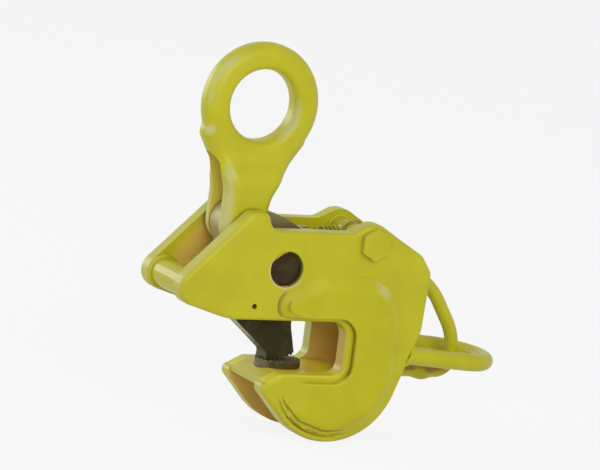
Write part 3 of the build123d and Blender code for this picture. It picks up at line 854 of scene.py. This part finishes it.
spring = {  # millimetres; turns in degrees: from, up to, step
    "horn": (35.0, 20.5),
    "hornLoop": 4.3,
    "hornTurn": (60, 331, 15),
    "hornLead": [(-4.4, -0.3, 0.0), (-2.0, 0.6, 0.0), (-0.4, 4.4, 0.6)],  # from the coil's start
    "tie": (78.5, 24.0),
    "tieLoop": 12.3,
    "tieTurn": (168, -151, -12),
    "tieLead": [(0.3, 4.6, -0.6), (1.2, 1.4, 0.0)],  # from the coil's end
    "wire": 1.3,  # radius
    "coil": 8.0,  # radius
    "pitch": 3.6,
    "turns": 5,
    "lead": 2.5,
    "perTurn": 16,  # points
    "skip": 2,  # points left out at each end of the coil, for the leads
    "smooth": 6,  # steps from point to point
    "sides": 12,
    "lean": 2.3,  # how steeply the swung cam draws the coil; the wire is narrower along the coil to match
}


def springLine():
    start = Vector(spring["horn"])
    end = Vector(spring["tie"])
    length = (end - start).length
    ahead = (end - start) / length
    coilTo = length - spring["tieLoop"] - spring["lead"]
    coilFrom = coilTo - spring["turns"] * spring["pitch"]

    def at(run, lift, y):  # along the spring, across it, and sideways
        return fromPin(start.x + ahead.x * run - ahead.y * lift, y, start.y + ahead.y * run + ahead.x * lift)

    def loop(middle, radius, turn):
        angles = [math.radians(degrees) for degrees in range(*turn)]
        return [at(middle + radius * math.cos(angle), radius * math.sin(angle), 0) for angle in angles]

    points = loop(0, spring["hornLoop"], spring["hornTurn"])
    points += [at(coilFrom + run, lift, y) for run, lift, y in spring["hornLead"]]
    last = spring["turns"] * spring["perTurn"] - spring["skip"]
    for index in range(spring["skip"], last + 1):
        turn = index / spring["perTurn"]
        angle = 2 * math.pi * turn
        across = spring["coil"] * math.cos(angle)
        points.append(at(coilFrom + spring["pitch"] * turn, across, spring["coil"] * math.sin(angle)))
    points += [at(coilTo + run, lift, y) for run, lift, y in spring["tieLead"]]
    points += loop(length, spring["tieLoop"], spring["tieTurn"])
    tieEnd = at(length - spring["tieLoop"], 0, 0)
    hornEnd = at(spring["hornLoop"], 0, 0)
    return curved(points, spring["smooth"]), tieEnd, hornEnd


def narrowCoil(mesh, line, hornEnd, tieEnd):  # most at the middle, where the swung cam draws it out most
    axis = (tieEnd - hornEnd).normalized()
    length = (tieEnd - hornEnd).length
    for index, vertex in enumerate(mesh.vertices):
        middle = line[index // spring["sides"]]
        share = (middle - hornEnd).dot(axis) / length
        if 0 < share < 1:
            narrow = 1 - 1 / math.hypot(1, spring["lean"] * 4 * share * (1 - share))
            vertex.co -= axis * (vertex.co - middle).dot(axis) * narrow


coilLine, tieEnd, hornEnd = springLine()
springMesh = sweepMesh(
    "closing_spring_wire", coilLine, lambda *_: spring["wire"] / 1000, spring["sides"], False)
narrowCoil(springMesh.data, coilLine, hornEnd, tieEnd)
springMesh.data.materials.append(finishes["spring_steel"])
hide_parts("closing_spring")
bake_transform(springMesh)
print("spring:", len(coilLine), "points")


# Camera

view = {
    "azimuth": -28.0,
    "elevation": 10.0,
    "roll": 7.4,  # the object leans clockwise in the picture
    "distance": 5.0,
    "pixelsPerMetre": 1200.0,
    "pinPixel": (266.1, 259.3),  # main pin's axis in the 600 by 470 picture
    "picture": (600, 470),
    "sensor": 36.0,
}


def makeCamera():
    turn, rise, lean = (math.radians(view[key]) for key in ("azimuth", "elevation", "roll"))
    back = Vector((math.sin(turn) * math.cos(rise), -math.cos(turn) * math.cos(rise), math.sin(rise)))
    level = Vector((math.cos(turn), math.sin(turn), 0))
    upright = back.cross(level)
    right = level * math.cos(lean) + upright * math.sin(lean)
    up = back.cross(right)
    across = view["picture"][0] / 2 - view["pinPixel"][0]
    above = view["pinPixel"][1] - view["picture"][1] / 2
    aim = pinAxis + (right * across + up * above) / view["pixelsPerMetre"]
    data = bpy.data.cameras.new("camera")
    data.sensor_width = view["sensor"]
    data.lens = view["pixelsPerMetre"] * view["sensor"] * view["distance"] / view["picture"][0]
    camera = bpy.data.objects.new("camera", data)
    place = Matrix((right, up, back)).transposed().to_4x4()
    place.translation = aim + back * view["distance"]
    camera.matrix_world = place
    bpy.context.scene.collection.objects.link(camera)
    bpy.context.scene.camera = camera
    return aim


aim = makeCamera()
print("camera aims at", [round(value, 4) for value in aim])


# Light

lamps = {
    "skyLamp": {"from": (-1.5, 0.55, 0.8), "size": 1.2, "watts": 7.0, "colour": (0.93, 0.97, 1.0)},
    "backLamp": {"from": (-0.9, 1.75, 0.4), "size": 0.8, "watts": 9.0, "colour": (0.84, 0.94, 1.0)},
    "frontLamp": {"from": (-0.3, -1.9, 0.9), "size": 1.4, "watts": 21.0, "colour": (1.0, 1.0, 1.0)},
}
for name, lamp in lamps.items():
    data = bpy.data.lights.new(name, "AREA")
    data.shape = "SQUARE"
    data.size = lamp["size"]
    data.energy = lamp["watts"]
    data.color = lamp["colour"]
    made = bpy.data.objects.new(name, data)
    made.location = aim + Vector(lamp["from"])
    made.rotation_mode = "QUATERNION"
    made.rotation_quaternion = (-Vector(lamp["from"])).to_track_quat("-Z", "Y")
    bpy.context.scene.collection.objects.link(made)

studio = {
    "white": 0.935,  # the picture's pale ground
    "ambient": 0.45,
    "floorGlow": 0.965,
    "floorTone": 0.86,
    "floorSide": 24.0,
    "shadowShare": 0.1,  # how much of the floor takes the object's shadow
}


def seenDirectly(finish):  # 1 for rays from the camera, a mirror or glass
    camera = finish.node("ShaderNodeLightPath", {}, {}, "Is Camera Ray")
    mirror = finish.node("ShaderNodeLightPath", {}, {}, "Is Glossy Ray")
    glass = finish.node("ShaderNodeLightPath", {}, {}, "Is Transmission Ray")
    return finish.step(camera + mirror + glass, 0.0, 1.0)


def grey(level):
    return (level, level, level, 1.0)


def makeWorld():
    world = bpy.data.worlds.new("studio")
    bpy.context.scene.world = world
    world.use_nodes = True
    finish = Finish(world.node_tree)
    shown = finish.node("ShaderNodeBackground", {}, {"Color": grey(studio["white"])})
    light = finish.node("ShaderNodeBackground", {}, {"Strength": studio["ambient"], "Color": grey(1.0)})
    both = finish.node("ShaderNodeMixShader", {}, {0: seenDirectly(finish), 1: light, 2: shown})
    finish.node("ShaderNodeOutputWorld", {}, {"Surface": both})


def makeFloor():
    half = studio["floorSide"] / 2
    level = cadLow.z
    mesh = bpy.data.meshes.new("floor")
    corners = [(-half, -half, level), (half, -half, level), (half, half, level), (-half, half, level)]
    mesh.from_pydata(corners, [], [(0, 1, 2, 3)])
    floor = bpy.data.objects.new("floor", mesh)
    bpy.context.scene.collection.objects.link(floor)
    material, finish = newMaterial("paleFloor")
    glow = finish.node("ShaderNodeEmission", {}, {"Color": grey(studio["floorGlow"])})
    matt = finish.node("ShaderNodeBsdfDiffuse", {}, {"Color": grey(studio["floorTone"])})
    share = seenDirectly(finish) * (1.0 - studio["shadowShare"])
    both = finish.node("ShaderNodeMixShader", {}, {0: share, 1: matt, 2: glow})
    finish.node("ShaderNodeOutputMaterial", {}, {"Surface": both})
    mesh.materials.append(material)


makeWorld()
makeFloor()
bpy.context.scene.view_settings.view_transform = "Standard"
print("studio ready")
